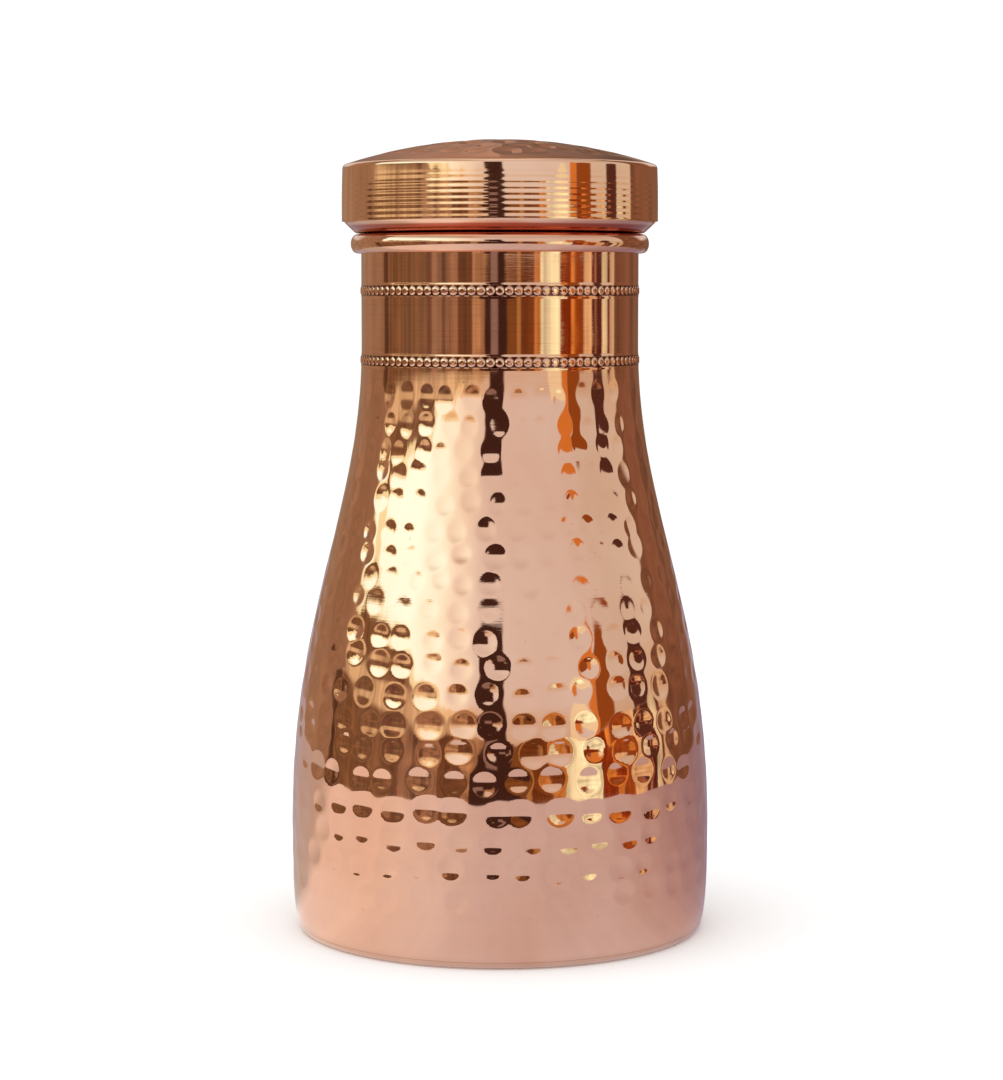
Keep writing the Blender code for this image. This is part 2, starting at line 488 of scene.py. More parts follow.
def band(distances, count, centre):
    """Lift of one band: flat-topped beads between two raised lines."""
    angle = angles(count)
    v = (distances - centre)[:, None]
    pitch = math.tau / PEARLS
    u = ((angle / pitch + 0.5) % 1 - 0.5) * pitch * NECK_R
    rho = np.sqrt(u[None, :] ** 2 + v**2) / PEARL_R
    slope = np.clip((rho - PEARL_FLAT) / (1 - PEARL_FLAT), 0, 1)
    dome = PEARL_HEIGHT * (1 - slope**2 * (3 - 2 * slope))
    hollow = PEARL_HOLLOW * np.clip(1 - (rho / PEARL_FLAT) ** 2, 0, 1)
    lines = BAND_LINE_HEIGHT * np.exp(-(((np.abs(v) - BAND_LINE) / BAND_LINE_WIDTH) ** 2))
    return dome - hollow + lines


# ------------ materials


class Nodes:
    """A material's node tree with short calls for the nodes used here."""

    def __init__(self, name):
        self.material = bpy.data.materials.new(name)
        self.material.use_nodes = True
        self.tree = self.material.node_tree
        self.shader = self.tree.nodes["Principled BSDF"]
        self.place = self.tree.nodes.new("ShaderNodeTexCoord").outputs["Object"]

    def link(self, source, target):
        self.tree.links.new(source, target)

    def noise(self, scale, detail=3.0, roughness=0.55):
        """Noise whose pattern repeats about scale times a metre along X, Y and Z."""
        mapping = self.tree.nodes.new("ShaderNodeMapping")
        mapping.inputs["Scale"].default_value = scale
        self.link(self.place, mapping.inputs["Vector"])
        noise = self.tree.nodes.new("ShaderNodeTexNoise")
        noise.inputs["Scale"].default_value = 1.0
        noise.inputs["Detail"].default_value = detail
        noise.inputs["Roughness"].default_value = roughness
        self.link(mapping.outputs["Vector"], noise.inputs["Vector"])
        return noise.outputs["Fac"]

    def ranged(self, value, low, high, to_low, to_high):
        """A value moved from one range to another, and held at its ends."""
        node = self.tree.nodes.new("ShaderNodeMapRange")
        for name, number in zip(
            ("From Min", "From Max", "To Min", "To Max"), (low, high, to_low, to_high)
        ):
            node.inputs[name].default_value = number
        self.link(value, node.inputs["Value"])
        return node.outputs["Result"]

    def mixed(self, factor, low, high):
        """A colour between two, each a tuple or an output."""
        node = self.tree.nodes.new("ShaderNodeMix")
        node.data_type = "RGBA"
        self.link(factor, node.inputs["Factor"])
        for socket, colour in zip((node.inputs[6], node.inputs[7]), (low, high)):
            if isinstance(colour, tuple):
                socket.default_value = (*colour, 1)
            else:
                self.link(colour, socket)
        return node.outputs[2]

    def math(self, operation, *values):
        node = self.tree.nodes.new("ShaderNodeMath")
        node.operation = operation
        for socket, value in zip(node.inputs, values):
            if isinstance(value, (int, float)):
                socket.default_value = value
            else:
                self.link(value, socket)
        return node.outputs[0]

    def times(self, a, b):
        return self.math("MULTIPLY", a, b)

    def inner_face(self, x, y):
        """One on faces that look towards the axis, such as the inside of the bottle. The product
        is in metres, as the distance from the axis is."""
        outwards = self.tree.nodes.new("ShaderNodeCombineXYZ")
        self.link(x, outwards.inputs["X"])
        self.link(y, outwards.inputs["Y"])
        turn = self.tree.nodes.new("ShaderNodeVectorMath")
        turn.operation = "DOT_PRODUCT"
        self.link(self.place.node.outputs["Normal"], turn.inputs[0])
        self.link(outwards.outputs["Vector"], turn.inputs[1])
        return self.ranged(turn.outputs["Value"], *INNER_FACING, 1, 0)

    def window(self, value, low, high, soft):
        """One between two values and zero outside them."""
        rises = self.ranged(value, low - soft, low, 0, 1)
        falls = self.ranged(value, high, high + soft, 1, 0)
        return self.times(rises, falls)

    def bump(self, height, distance, before=None):
        node = self.tree.nodes.new("ShaderNodeBump")
        node.inputs["Distance"].default_value = distance
        self.link(height, node.inputs["Height"])
        if before is not None:
            self.link(before, node.inputs["Normal"])
        return node.outputs["Normal"]


def pearl_gap_shade(made, x, y, z):
    """Share of painted shade: the floor of each rolled band, outside its pearls, is darkened as
    if in shade.
    """
    turn = made.math("ARCTAN2", x, made.times(y, -1.0))
    count = made.math("ADD", made.times(turn, PEARLS / math.tau), 0.5)
    aside = made.math("SUBTRACT", made.math("FRACT", count), 0.5)
    u = made.times(aside, math.tau / PEARLS * NECK_R / PEARL_R)
    low, high = (made.math("ABSOLUTE", made.math("SUBTRACT", z, at)) for at in BAND_HEIGHTS)
    v = made.math("DIVIDE", made.math("MINIMUM", low, high), PEARL_R)
    squares = made.math("ADD", made.times(u, u), made.times(v, v))
    outside = made.ranged(made.math("SQRT", squares), 0.84, 0.98, 0, 1)
    return made.times(outside, made.ranged(v, 1.0, 1.2, 1, 0))


def scaled(colour, factors):
    return tuple(c * f for c, f in zip(colour, factors))


def copper(name, colour, rough, turned, body=False, ledge=False):
    """Lacquered copper: cloudy tarnish, fine turning lines and a satin haze that comes and goes.
    turned is how deep the turning lines are. body adds painted shade in the gaps between the
    pearls and the scratches of the dressed seam and the neck, and ledge paints shade on the foot
    of the lid's cone."""
    made = Nodes(name)
    shader = made.shader
    split = made.tree.nodes.new("ShaderNodeSeparateXYZ")
    made.link(made.place, split.inputs[0])
    x, y, z = split.outputs

    cloud = made.ranged(made.noise((38, 38, 30), 4), 0.35, 0.7, 0, 1)
    tint = made.mixed(cloud, colour, scaled(colour, (0.93, 0.86, 0.80)))
    freckle = made.ranged(made.noise((900, 900, 900), 2), 0.74, 0.80, 0, 0.75)
    tint = made.mixed(freckle, tint, scaled(colour, (0.55, 0.40, 0.34)))
    if body:
        hatch = made.ranged(made.noise((35, 35, 2400), 5, 0.7), 0.50, 0.66, 0, 0.42)
        patch = made.ranged(made.noise((120, 120, 90), 2), 0.38, 0.62, 0.15, 1)
        neck = made.window(z, NECK_Z - NECK_SCRATCH_LEAD, RIM_Z, 0.004)
        share = made.times(made.times(hatch, patch), neck)
        tint = made.mixed(share, tint, HATCH)
        foot_line = made.window(z, FOOT_LINE[0], sum(FOOT_LINE), 0.00012)
        tint = made.mixed(made.times(foot_line, 0.5), tint, HATCH)
        # Painted shade: the gaps between the pearls are made dark.
        tint = made.mixed(pearl_gap_shade(made, x, y, z), tint, CREVICE_SHADE)
    if ledge:
        # Painted shade: the foot of the cone just over the ledge is darkened, where the gap under
        # the lid lies in shade.
        low, high = CONE_SHADE_ENDS
        below = made.ranged(z, LEDGE_Z + low, LEDGE_Z + high, 0.95, 0)
        above = made.ranged(z, LEDGE_Z - 0.0002, LEDGE_Z, 0, 1)
        tint = made.mixed(made.times(below, above), tint, CONE_FOOT_SHADE)
    hidden = made.inner_face(x, y)
    made.link(made.mixed(hidden, tint, INSIDE), shader.inputs["Base Color"])
    made.link(made.ranged(hidden, 0, 1, 1.0, 0.55), shader.inputs["Metallic"])

    lines = made.noise((60, 60, 7000), 5, 0.62)
    haze = made.ranged(made.noise((55, 55, 140), 4), 0.35, 0.75, rough, rough * 2.1)
    streak = made.ranged(lines, 0.45, 0.8, 0, rough * 1.2)
    satin = made.math("ADD", haze, streak)
    dull = made.times(hidden, 0.40)
    made.link(made.math("ADD", satin, dull), shader.inputs["Roughness"])

    normal = made.bump(lines, turned)
    if body:
        seam = made.window(z, SEAM_Z - 0.002, SEAM_Z + 0.002, DRESSED_HALF_HEIGHT)
        neck = made.window(z, NECK_Z - NECK_SCRATCH_LEAD, RIM_Z, 0.003)
        scratches = made.times(made.noise((50, 50, 3000), 4, 0.7), seam)
        normal = made.bump(scratches, SEAM_SCRATCHES, normal)
        scratches = made.times(made.noise((50, 50, 4500), 4, 0.7), neck)
        normal = made.bump(scratches, NECK_SCRATCHES, normal)
    made.link(normal, shader.inputs["Normal"])
    return made.material


def silicone(name):
    """Moulded silicone: a soft mottle, fine grain and slightly uneven gloss."""
    made = Nodes(name)
    shader = made.shader
    mottle = made.ranged(made.noise((160, 160, 160), 3), 0.3, 0.7, 0, 1)
    shade = scaled(SILICONE, (0.93, 0.93, 0.93))
    made.link(made.mixed(mottle, SILICONE, shade), shader.inputs["Base Color"])
    grain = made.noise((2600, 2600, 2600), 2)
    made.link(made.ranged(grain, 0.3, 0.7, 0.42, 0.6), shader.inputs["Roughness"])
    shader.inputs["Subsurface Weight"].default_value = 0.15
    shader.inputs["Subsurface Radius"].default_value = (0.002, 0.0015, 0.001)
    made.link(made.bump(grain, 0.00001), shader.inputs["Normal"])
    return made.material


# ------------ pieces


def finish_piece(skin, name, material, body, node, sharp=35):
    """Makes the piece. Edges that turn by more than sharp degrees stay sharp."""
    piece = skin.make(name, material, sharp)
    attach(piece, body)
    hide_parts(node)


def inner_wall(skin, distances, pits, fine):
    """The wall's inner face, dented like the outer one. The ring numbered fine has as many points
    as the outer face, and the others have fewer."""
    points, normals = along(WALL, distances)
    lift = hammered(distances, ROUND, pits)
    for i, ((r, z), (nr, nz)) in enumerate(zip(points, normals)):
        count = ROUND if i == fine else ROUND_COARSE
        d = lift[i][:: ROUND // count] - SHEET
        skin.ring(r + nr * d, z + nz * d, count)


def build_lower_body(pits, material):
    """Foot, wall and lower taper up to the seam, hammered on both faces."""
    skin = Skin()
    rest, _ = along(REST_RING, spaced(REST_RING, 0.0015))
    for r, z in rest[:-1]:
        skin.ring(r, z, ROUND)
    first = skin.rings[0]
    corner_end = (math.pi / 2 - FOOT_LEAN) * FOOT_CORNER
    seam = distance_at(SEAM_Z)
    steps = round((seam - corner_end) / WALL_STEP)
    corner = np.linspace(0, corner_end, 8)[:-1]
    distances = np.append(corner, np.linspace(corner_end, seam, steps))
    skin.rows(*along(WALL, distances), ROUND, hammered(distances, ROUND, pits))

    coarse = np.append(seam, np.linspace(seam - 0.001, corner_end, round(seam / INSIDE_STEP)))
    inner_wall(skin, np.append(coarse, (corner_end / 2, 0)), pits, fine=0)
    skin.ring(REST_RING[0][0], SHEET, ROUND_COARSE)
    skin.close(first)
    finish_piece(skin, "hammered_lower_body", material, "bottle", "lower_body")


def build_upper_body(pits, material):
    """Upper taper, neck with its two bands, and the edge curled over into the rim."""
    skin = Skin()
    seam = distance_at(SEAM_Z)
    bands = [distance_at(z) for z in BAND_HEIGHTS]
    low_band = bands[0] - BAND_HALF_HEIGHT
    distances = np.linspace(seam, low_band - RING_GAP, round((low_band - seam) / WALL_STEP))
    skin.rows(*along(WALL, distances), ROUND, hammered(distances, ROUND, pits))
    first = skin.rings[0]
    for centre, after in zip(bands, (bands[1] - BAND_HALF_HEIGHT, distance_at(RIM_Z) - RING_GAP)):
        start, end = centre - BAND_HALF_HEIGHT, centre + BAND_HALF_HEIGHT
        distances = np.linspace(start, end, round((end - start) / BAND_STEP))
        skin.rows(*along(WALL, distances), ROUND_FINE, band(distances, ROUND_FINE, centre))
        count = round((after - end) / NECK_STEP)
        distances = np.linspace(end + RING_GAP, after - RING_GAP, count)
        skin.rows(*along(WALL, distances), ROUND)

    inner_r = NECK_R - SHEET
    centre = ((RIM_R + inner_r) / 2, RIM_Z - RIM_HEIGHT / 2)
    radii = np.array([(RIM_R - inner_r) / 2, RIM_HEIGHT / 2])
    for r, z in arc(centre, radii - SHEET, math.pi, RIM_END, 9):
        skin.ring(r, z, ROUND_COARSE)
    for r, z in arc(centre, radii, RIM_END, math.pi, 24):
        skin.ring(r, z, ROUND)

    count = round(INSIDE_LENGTH / INSIDE_STEP)
    coarse = np.linspace(distance_at(RIM_Z) - 0.002, seam + 0.001, count)
    inner_wall(skin, np.append(coarse, seam), pits, fine=len(coarse))
    skin.close(first)
    finish_piece(skin, "hammered_upper_body", material, "bottle", "upper_body")


def build_base(material):
    """The pan inside the foot, pushed up in the middle, with turning rings."""
    foot, normals = along(WALL, np.linspace(0, distance_at(BASE_EDGE), 24))
    edge = foot - normals * (SHEET + JOINT_GAP)
    flat_z = edge[0][1]
    top_z = flat_z + BASE_BULGE
    half_r = BASE_FLAT_R / 2
    rise = (0.0005, top_z), (half_r, top_z), (half_r, flat_z), (BASE_FLAT_R, flat_z)
    lower = joined(bezier(*rise, 300), edge)
    skin = Skin()
    centre = skin.pole(top_z)
    distances = spaced(lower, BASE_STEP)
    points, normals = along(lower, distances)
    ripple = BASE_RING_HEIGHT * np.sin(distances * math.tau / BASE_RING_PITCH)
    ripple = ripple * (points[:, 0] < BASE_FLAT_R)
    skin.rows(points + normals * ripple[:, None], normals, ROUND_COARSE)
    skin.fan(centre)
    skin.path(inside(lower)[::-1], BASE_INSIDE_STEP, ROUND_COARSE)
    skin.close_on_axis(top_z + SHEET)
    finish_piece(skin, "base_pan", material, "bottle", "base_disc")


def lid_outline():
    """The lid shell's outer face, from the bottom of the skirt to the top of the dome."""
    dome_z = LID_TOP_Z - DOME_R
    corner_r = LID_TOP_R - LID_CORNER
    corner_z = dome_z + math.sqrt((DOME_R - LID_CORNER) ** 2 - corner_r**2)
    edge = math.atan2(corner_z - dome_z, corner_r)
    skirt = np.linspace((LID_R, LID_BOTTOM_Z), (LID_TOP_R, corner_z), 400)
    corner = arc((corner_r, corner_z), (LID_CORNER, LID_CORNER), 0, edge)
    dome = arc((0, dome_z), (DOME_R, DOME_R), edge, math.pi / 2, 600)
    dome[-1] = (0, LID_TOP_Z)
    return skirt, corner, dome


def dome_pits():
    """Pits on the dome in rings round its middle: radius, angle, half width, depth."""
    pits = [(0, 0, *DOME_MIDDLE_PIT)]
    for ring in range(1, DOME_RINGS + 1):
        radius = ring * DOME_RING_PITCH
        count = round(math.tau * radius / DOME_PIT_SPACING)
        start = random.uniform(0, math.tau)
        for i in range(count):
            jitter = np.clip(random.normal(0, 1, 4), -2, 2)
            out = radius + DOME_PIT_SHIFT * jitter[0]
            turn = start + math.tau * (i + 0.08 * jitter[1]) / count
            half = DOME_PIT_HALF * (1 + 0.08 * jitter[2])
            pits.append((out, turn, half, DOME_PIT_DEPTH * (1 + 0.25 * jitter[3])))
    return pits


def dome_lift(radii, count):
    """Lift of the dome: overlapping shallow pits, none of them near its edge. Each call draws its
    own pits, so the dome's hidden inner face doesn't follow the outer one."""
    angle = angles(count)[None, :]
    r = radii[:, None]
    lift = np.zeros((len(radii), count))
    for radius, turn, half, depth in dome_pits():
        square = r**2 + radius**2 - 2 * r * radius * np.cos(angle - turn)
        inside_edge = 1 - square / half**2
        rounded = np.sqrt(inside_edge**2 + DOME_PIT_EDGE)
        cup = -depth * 0.5 * (inside_edge + rounded) + depth * 0.002
        lift = np.minimum(lift, np.where(inside_edge > -1, cup, 0))
    return lift


def build_lid_shell(material):
    """Skirt with turning rings, rounded shoulder and hammered dome."""
    skirt, corner, dome = lid_outline()
    skin = Skin()
    distances = spaced(skirt, SKIRT_STEP)
    points, normals = along(skirt, distances)
    total = lengths(skirt)[-1]
    turned = np.clip((total - distances - SKIRT_PLAIN) / SKIRT_FADE, 0, 1)
    wave = np.sin(distances * math.tau / SKIRT_RING_PITCH)
    wander = sum(share * np.sin(distances * rate) for share, rate in SKIRT_WANDER)
    barrel = SKIRT_BARREL * (1 - (distances / (total / 2) - 1) ** 2)
    ripple = SKIRT_RING_HEIGHT * turned * (wave + wander) + barrel
    skin.rows(points + normals * ripple[:, None], normals, ROUND)
    first = skin.rings[0]
    for r, z in corner[4::7]:
        skin.ring(r, z, ROUND)
    distances = np.linspace(0.0003, lengths(dome)[-1] - 0.0006, 62)
    points, normals = along(dome, distances)
    skin.rows(points, normals, ROUND, dome_lift(points[:, 0], ROUND))
    top_z = LID_TOP_Z + dome_lift(np.array([0.0]), 4)[0, 0]
    skin.close_on_axis(top_z)

    inner = inside(joined(skirt, corner, dome))[::-1]
    total = lengths(inner)[-1]
    points, _ = along(inner, np.append(np.linspace(0.002, total - 0.0006, 45), total))
    centre = skin.pole(top_z - SHEET)
    lift = dome_lift(points[:, 0], ROUND_COARSE) * (points[:, 1] > LID_TOP_Z - 0.008)[:, None]
    for (r, z), row in zip(points, lift):
        skin.ring(r, z + row, ROUND_COARSE)
    skin.fan(centre)
    skin.close(first)
    finish_piece(skin, "lid_dome_and_skirt", material, "lid", "lid_shell")


def build_lid_plug(material):
    """Cup that enters the neck, groove for the seal, ledge over the rim, cone and lapped edge."""
    groove_r = SEAL_R - (SEAL_HIGH_Z - SEAL_LOW_Z) / 2 - GROOVE_ROOM
    groove_low, groove_high = SEAL_LOW_Z - GROOVE_ROOM, SEAL_HIGH_Z + GROOVE_ROOM
    cone_r = LID_R - SHEET - JOINT_GAP
    cone_z = LEDGE_Z + (cone_r - LEDGE_R) * math.tan(CONE_SLOPE)
    outline = [
        (AXIS_R, PLUG_BOTTOM_Z),
        (PLUG_R, PLUG_BOTTOM_Z),
        (PLUG_R, groove_low),
        (groove_r, groove_low),
        (groove_r, groove_high),
        (PLUG_R, groove_high),
        (PLUG_R, LEDGE_Z),
        (LEDGE_R, LEDGE_Z),
        (cone_r, cone_z),
        (cone_r, cone_z + LID_LAP),
    ]
    bottom = filleted(outline[:3], PLUG_CORNER, 8)[:-1]
    outer = joined(bottom, filleted(outline[1:], PLUG_EDGE, 5)[1:])
    skin = Skin()
    centre = skin.pole(PLUG_BOTTOM_Z)
    skin.ring(*outer[0], ROUND_COARSE)
    skin.fan(centre)
    for a, b in zip(outer, outer[1:]):
        count = max(1, round(np.linalg.norm(b - a) / PLUG_STEP))
        for i in range(1, count + 1):
            r, z = a + (b - a) * i / count
            skin.ring(r, z, ROUND_COARSE)
    for r, z in inside(outer)[:0:-1]:
        skin.ring(max(r, AXIS_R), z, ROUND_COARSE)
    skin.close_on_axis(PLUG_BOTTOM_Z + SHEET)
    finish_piece(skin, "lid_plug_cup", material, "lid", "lid_plug")


def build_seal(material):
    """Soft ring with a flat back in the groove and two small lips on its face."""
    half = (SEAL_HIGH_Z - SEAL_LOW_Z) / 2
    middle = (SEAL_HIGH_Z + SEAL_LOW_Z) / 2
    turns = np.linspace(-math.pi, math.pi, 29)[:-1]
    lips = SEAL_LIP * np.cos(turns * 4) * (np.cos(turns) > 0)
    skin = Skin()
    for turn, lip in zip(turns, lips):
        flat = 1 if math.cos(turn) > -SEAL_FLAT else SEAL_FLAT / -math.cos(turn)
        reach = half * flat - SEAL_LIP + lip
        skin.ring(SEAL_R + reach * math.cos(turn), middle + reach * math.sin(turn), ROUND_COARSE)
    skin.close(skin.rings[0])
    finish_piece(skin, "seal_ring_soft", material, "seal", "seal_ring", sharp=60)


# ------------ surroundings

# The polished metal shows the room round it, so the room is a ring of painted cards that only
# reflections see. Azimuths are in degrees from the front, positive towards +X.
FLOOR_GAP = 0.0003
ROOM_R = 2.2
ROOM_R_BACK = 0.78
ROOM_BACK_FROM = (114, 128)
ROOM_LOW = -0.8
ROOM_TOP = 2.6
# Where the room's front ends. The left end is at two azimuths, below and above two heights.
SIDE_EDGE_LEFT = (-110, -102)
SIDE_EDGE_HEIGHTS = (0.21, 0.27)
SIDE_EDGE_RIGHT = 108

# The bright zone of the front, by azimuth.
BRIGHT = (
    (-110, (1.28, 2.05, 2.15)),
    (-60, (1.28, 2.05, 2.15)),
    (-42, (1.22, 1.75, 1.75)),
    (-28, (1.12, 1.36, 1.33)),
    (-13, (0.90, 1.02, 1.06)),
    (-4, (0.84, 0.93, 0.98)),
    (14, (0.82, 0.90, 0.95)),
    (44, (0.80, 0.88, 0.93)),
    (77, (0.74, 0.80, 0.78)),
    (120, (0.78, 0.84, 0.78)),
)
# Warm veil over the bright zone just above the low zone.
VEIL = (0.90, 0.68, 0.45)
# How much of each colour fades towards the ceiling, and between which heights.
DIM = (0.80, 1.08, 1.18)
DIM_HEIGHTS = (0.95, 1.8)
# Top of the low zone, by azimuth.
EDGE = (
    (-99, 0.50),
    (-87, 0.57),
    (-73, 0.57),
    (-62, 0.52),
    (-47, 0.43),
    (-33, 0.31),
    (-16, 0.30),
    (-4, 0.235),
    (5, 0.205),
)
# Strips of the low zone from its left end: right edge, colour. Right of the middle they lean.
LOW_LEFT = -112
LOW_STRIPS = (
    (-104, (0.12, 0.07, 0.04)),
    (-84, (0.24, 0.15, 0.08)),
    (-61, (0.26, 0.17, 0.10)),
    (-57, (0.20, 0.11, 0.07)),
    (-48, (0.34, 0.24, 0.16)),
    (-45, (0.26, 0.16, 0.10)),
    (-34, (0.34, 0.22, 0.14)),
    (-22, (0.19, 0.10, 0.05)),
    (-8, (0.45, 0.30, 0.17)),
    (14, (0.21, 0.095, 0.03)),
    (17, (0.52, 0.30, 0.10)),
    (28, (0.20, 0.07, 0.02)),
    (33, (0.62, 0.30, 0.08)),
    (50, (1.08, 1.33, 1.00)),
    (60, (0.27, 0.05, 0.01)),
    (64, (0.70, 0.30, 0.06)),
    (72, (0.38, 0.10, 0.02)),
    (81, (0.78, 0.62, 0.36)),
    (84, (0.10, 0.03, 0.02)),
    (86, (0.55, 0.22, 0.12)),
    (92, (0.10, 0.03, 0.02)),
    (99, (0.80, 0.84, 0.60)),
    (102, (0.20, 0.06, 0.04)),
    (110, (0.70, 0.62, 0.42)),
)
LEAN = 7
# Pale gold band across the upper part of the low zone, on the left.
HAZE = 0.62
HAZE_COLOUR = (1.05, 0.98, 0.64)
HAZE_HEIGHTS = (0.25, 0.39)
# Uprights that stand above the low zone: left edge, right edge, top, colour.
UPRIGHTS = (
    (39, 51, 0.44, (1.0, 1.06, 0.80)),
    (51, 56, 0.72, (0.75, 0.30, 0.06)),
    (56, 68, 0.68, (0.32, 0.10, 0.02)),
    (82, 92, 0.58, (0.10, 0.04, 0.03)),
)
# The dark stand in the middle: height, left edge, right edge.
STAND = (
    (-0.10, -17, 12),
    (0.02, -16, 9),
    (0.07, -14, 6),
    (0.12, -12.5, 5.5),
    (0.17, -12.5, 5.5),
    (0.20, -8, 3.5),
    (0.36, -8, 3.5),
    (0.45, -11.5, 1.5),
    (0.83, -11.5, 1.5),
)
STAND_DARK = (0.06, 0.028, 0.022)
STAND_SHEEN = (0.32, 0.25, 0.24)
SHEEN_EDGES = (-7.5, -1.8)
SHEEN_HEIGHTS = (0.08, 0.24)
# The table top, by azimuth.
TABLE = (
    (-180, (0.36, 0.33, 0.42)),
    (-150, (0.50, 0.45, 0.48)),
    (-110, (0.62, 0.60, 0.56)),
    (-95, (0.97, 0.96, 0.96)),
    (-60, (0.95, 0.95, 0.94)),
    (-20, (0.78, 0.79, 0.84)),
    (0, (0.70, 0.71, 0.79)),
    (50, (0.67, 0.68, 0.77)),
    (75, (0.58, 0.53, 0.60)),
    (95, (0.48, 0.41, 0.48)),
    (130, (0.34, 0.27, 0.34)),
    (180, (0.32, 0.28, 0.36)),
)
# The room behind the bottle: two sides, a pale card low down in the middle, and a glow above with
# a darker middle. Edges are azimuths either way from the front.
BACK_LEFT = (0.37, 0.26, 0.17)
BACK_RIGHT = (0.24, 0.13, 0.08)
BACK_CARD = (0.52, 0.50, 0.62)
BACK_CARD_EDGES = (140, 172)
BACK_CARD_ENDS = (0.035, 0.065)
BACK_GLOW = (0.80, 0.80, 0.78)
BACK_GLOW_EDGES = (132, 145)
BACK_GLOW_STARTS = (0.24, 0.32)
BACK_UPPER = (0.30, 0.195, 0.145)
BACK_MIDDLE_EDGES = (164, 168)
BACK_FLANK_EDGES = (140, 160)

# What the camera sees: a pale floor, an even white surround and one wide lamp overhead.
FLOOR_HALF = 6.0
FLOOR_COLOUR = (0.93, 0.93, 0.93, 1)
SURROUND_STRENGTH = 1.1
LAMP_SIZE = 1.6
LAMP_POWER = 10
LAMP_PLACE = (-0.3, -0.5, 1.9)
LAMP_TURN = (math.radians(-14), math.radians(-9), 0)
CAMERA_LENS = 92.95
CAMERA_SENSOR = 36
CAMERA_PLACE = (0.0004, -0.7, 0.16075)
CAMERA_TURN = (math.radians(90 - 5.16), 0, 0)


def keyed(keys, at):
    """Colours between keys, at an array of positions."""
    positions = [position for position, _ in keys]
    return np.stack([np.interp(at, positions, [c[i] for _, c in keys]) for i in range(3)], -1)


def smooth(x, low, high):
    """Zero below one value and one above another, with a smooth rise between."""
    t = np.clip((x - low) / (high - low), 0, 1)
    return t * t * (3 - 2 * t)


def ragged(x, seed, detail=7):
    """A smooth random curve of x, about -1 to 1."""
    waves = np.random.default_rng(seed)
    total = 0
    for i in range(1, detail + 1):
        total = total + np.sin(x * i * waves.uniform(0.8, 1.3) + waves.uniform(0, 7)) / i**0.7
    return total / 2.2


def blended(colour, over, share):
    """A field of colour with another laid over it by a share at each point."""
    return colour * (1 - share[..., None]) + np.array(over) * share[..., None]


def mottled(x, y, seed, count=14):
    """A blotchy random field of x and y, about -1 to 1."""
    waves = np.random.default_rng(seed)
    total = 0
    for i in range(count):
        turn, phase = waves.uniform(0, math.tau, 2)
        rate = waves.uniform(0.6, 3.2)
        across = x * math.cos(turn) + y * math.sin(turn)
        total = total + np.sin(rate * across + phase) / rate**0.5
    return total / 3.2


def between(x, low, high, soft):
    """One between two edges and zero outside them."""
    return smooth(x, low - soft, low + soft) * (1 - smooth(x, high - soft, high + soft))


def back_colour(azimuth, height):
    """Radiance of the room behind the bottle, which only its flanks and its lid show."""
    aside = np.abs(azimuth)
    plain = np.zeros(azimuth.shape + (3,))
    colour = blended(plain + BACK_LEFT, BACK_RIGHT, smooth(azimuth, 0, 1))
    share = smooth(aside, *BACK_CARD_EDGES) * (1 - smooth(height, *BACK_CARD_ENDS))
    colour = blended(colour, BACK_CARD, share)
    middle = smooth(aside, *BACK_MIDDLE_EDGES)
    upper = blended(plain + BACK_GLOW, BACK_UPPER, middle)
    share = smooth(height, *BACK_GLOW_STARTS) * smooth(aside, *BACK_GLOW_EDGES)
    colour = blended(colour, upper, share)
    flank = 1 - smooth(aside, *BACK_FLANK_EDGES)
    cloudy = 1 + 0.10 * ragged(azimuth / 6, 3) + 0.05 * ragged(height * 40, 4)
    cloudy = cloudy + 0.16 * flank * mottled(azimuth / 5, height * 14, 6)
    cloudy = cloudy + 0.30 * middle * mottled(azimuth / 4.5, height * 9, 5)
    return colour * np.clip(cloudy, 0.35, 1.9)[..., None]


def low_colour(azimuth, height):
    """Radiance of the low zone: furniture and shadow, as upright strips with a grain."""
    low = np.zeros(azimuth.shape + (3,)) + 0.2
    lean = LEAN * smooth(azimuth, 20, 60) * (1 - smooth(height, 0.06, 0.12))
    lean = lean * (1 - smooth(azimuth, 80, 113))
    left = LOW_LEFT
    for right, paint in LOW_STRIPS:
        wobble = 0.5 * ragged(height * 25, left + 200)
        low = blended(low, paint, between(azimuth - lean - wobble, left, right, 0.5))
        left = right
    grain = 1 + 0.20 * ragged(azimuth / 2.3, 11, 9) + 0.15 * ragged(azimuth / 0.9, 13, 5)
    grain = grain + 0.20 * mottled(azimuth / 3, height * 22, 12)
    return low * np.clip(grain, 0.4, 1.7)[..., None]


